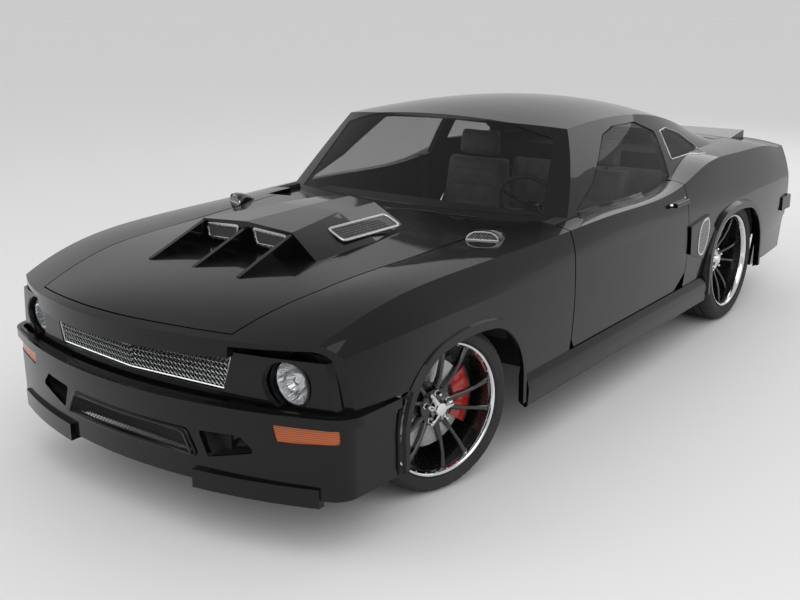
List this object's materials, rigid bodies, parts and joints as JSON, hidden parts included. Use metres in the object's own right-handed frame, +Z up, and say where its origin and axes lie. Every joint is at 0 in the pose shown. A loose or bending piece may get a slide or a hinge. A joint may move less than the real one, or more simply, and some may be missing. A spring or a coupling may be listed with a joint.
{
  "type": "two-door fastback muscle car",
  "caption": "Black fastback muscle coupe that rolls and steers, with opening doors, hood and boot lid, a hood scoop, flared arches and slim-spoked wheels",
  "frame": {"origin": "on the floor, at the middle of the car's length and width", "axes": "the car faces -Y, its left side is +X, +Z is up"},
  "size_m": [1.852, 4.76, 1.3132],
  "materials": {
    "body_paint": "gloss black clear-coated paint",
    "black_trim": "satin to gloss black",
    "tinted_glass": "lightly tinted",
    "silver_mesh": "woven bright wire",
    "lamp_glass": "clear",
    "amber_lens": "clear amber",
    "red_lens": "deep red",
    "underbody_black": "matte black",
    "chassis_steel": "semi-gloss black",
    "engine_iron": "cast",
    "exhaust_steel": "brushed",
    "wiper_black": "matte black",
    "cabin_plastic": "fine grain",
    "seat_cloth": "grey grained, padded",
    "wheel_leather": "smooth, stitched",
    "caliper_red": "gloss red over black steel",
    "wheel_black": "gloss black with a polished lip",
    "tyre_rubber": "matte black rubber"
  },
  "bodies": {
    "root": {"unibody": "underbody_black", "front_fenders": "body_paint", "nose_panel": "body_paint", "front_fascia": "black_trim", "front_bumper": "black_trim", "headlamp_panel": "black_trim", "grilles": "silver_mesh", "headlamps": "lamp_glass", "turn_lamps": "amber_lens", "cowl_panel": "black_trim", "windshield": "tinted_glass", "roof_shell": "body_paint", "quarter_panels": "body_paint", "quarter_glass": "tinted_glass", "rear_glass": "tinted_glass", "tail_panel": "black_trim", "tail_lamps": "red_lens", "rear_bumper": "black_trim", "sill_skirts": "black_trim", "dashboard": "cabin_plastic", "steering_column": "cabin_plastic", "front_seats": "seat_cloth", "rear_seat": "seat_cloth", "engine_block": "engine_iron", "exhaust": "exhaust_steel", "fuel_tank": "chassis_steel", "front_suspension": "chassis_steel", "rear_axle": "chassis_steel", "wipers": "wiper_black"},
    "hood": {"hood": "body_paint", "hood_vents": "silver_mesh"},
    "boot_lid": {"boot_lid": "body_paint"},
    "door_left": {"door_left": "body_paint", "door_glass_left": "tinted_glass"},
    "door_right": {"door_right": "body_paint", "door_glass_right": "tinted_glass"},
    "steering_wheel": {"steering_wheel": "wheel_leather"},
    "knuckle_left": {"knuckle_left": "caliper_red"},
    "knuckle_right": {"knuckle_right": "caliper_red"},
    "wheel_front_left": {"wheel_front_left": "wheel_black", "tyre_front_left": "tyre_rubber"},
    "wheel_front_right": {"wheel_front_right": "wheel_black", "tyre_front_right": "tyre_rubber"},
    "wheel_rear_left": {"wheel_rear_left": "wheel_black", "tyre_rear_left": "tyre_rubber"},
    "wheel_rear_right": {"wheel_rear_right": "wheel_black", "tyre_rear_right": "tyre_rubber"}
  },
  "joints": [
    {"name": "door_left_hinge", "type": "hinge", "parent": "root", "child": "door_left", "pos_m": [0.886, -0.701, 0.575], "axis": [0, 0, -1], "range_deg": [0, 65]},
    {"name": "door_right_hinge", "type": "hinge", "parent": "root", "child": "door_right", "pos_m": [-0.886, -0.701, 0.575], "axis": [0, 0, 1], "range_deg": [0, 65]},
    {"name": "hood_hinge", "type": "hinge", "parent": "root", "child": "hood", "pos_m": [0, -0.809, 0.89], "axis": [-1, 0, 0], "range_deg": [0, 50]},
    {"name": "boot_lid_hinge", "type": "hinge", "parent": "root", "child": "boot_lid", "pos_m": [0, 1.763, 0.96], "axis": [1, 0, 0], "range_deg": [0, 60]},
    {"name": "steer_left", "type": "hinge", "parent": "root", "child": "knuckle_left", "pos_m": [0.665, -1.453, 0.33], "axis": [0, 0, 1], "range_deg": [-14.6, 45.4]},
    {"name": "steer_right", "type": "hinge", "parent": "root", "child": "knuckle_right", "pos_m": [-0.665, -1.453, 0.33], "axis": [0, 0, 1], "range_deg": [-14.6, 45.4]},
    {"name": "steering_wheel_turn", "type": "hinge", "parent": "root", "child": "steering_wheel", "pos_m": [0.372, -0.081, 0.812], "axis": [0, 0.9272, 0.3746], "range_deg": [-204.4, 635.6]},
    {"name": "wheel_front_left_spin", "type": "hinge", "parent": "knuckle_left", "child": "wheel_front_left", "pos_m": [0.76141, -1.47956, 0.33], "axis": [0.9641, -0.2656, 0], "continuous": true},
    {"name": "wheel_front_right_spin", "type": "hinge", "parent": "knuckle_right", "child": "wheel_front_right", "pos_m": [-0.76141, -1.42644, 0.33], "axis": [0.9641, -0.2656, 0], "continuous": true},
    {"name": "wheel_rear_left_spin", "type": "hinge", "parent": "root", "child": "wheel_rear_left", "pos_m": [0.76, 1.29, 0.342], "axis": [1, 0, 0], "continuous": true},
    {"name": "wheel_rear_right_spin", "type": "hinge", "parent": "root", "child": "wheel_rear_right", "pos_m": [-0.76, 1.29, 0.342], "axis": [1, 0, 0], "continuous": true}
  ],
  "couplings": [
    {"joint": "steer_right", "follows": "steer_left", "ratio": 1},
    {"joint": "steering_wheel_turn", "follows": "steer_left", "ratio": 14}
  ]
}
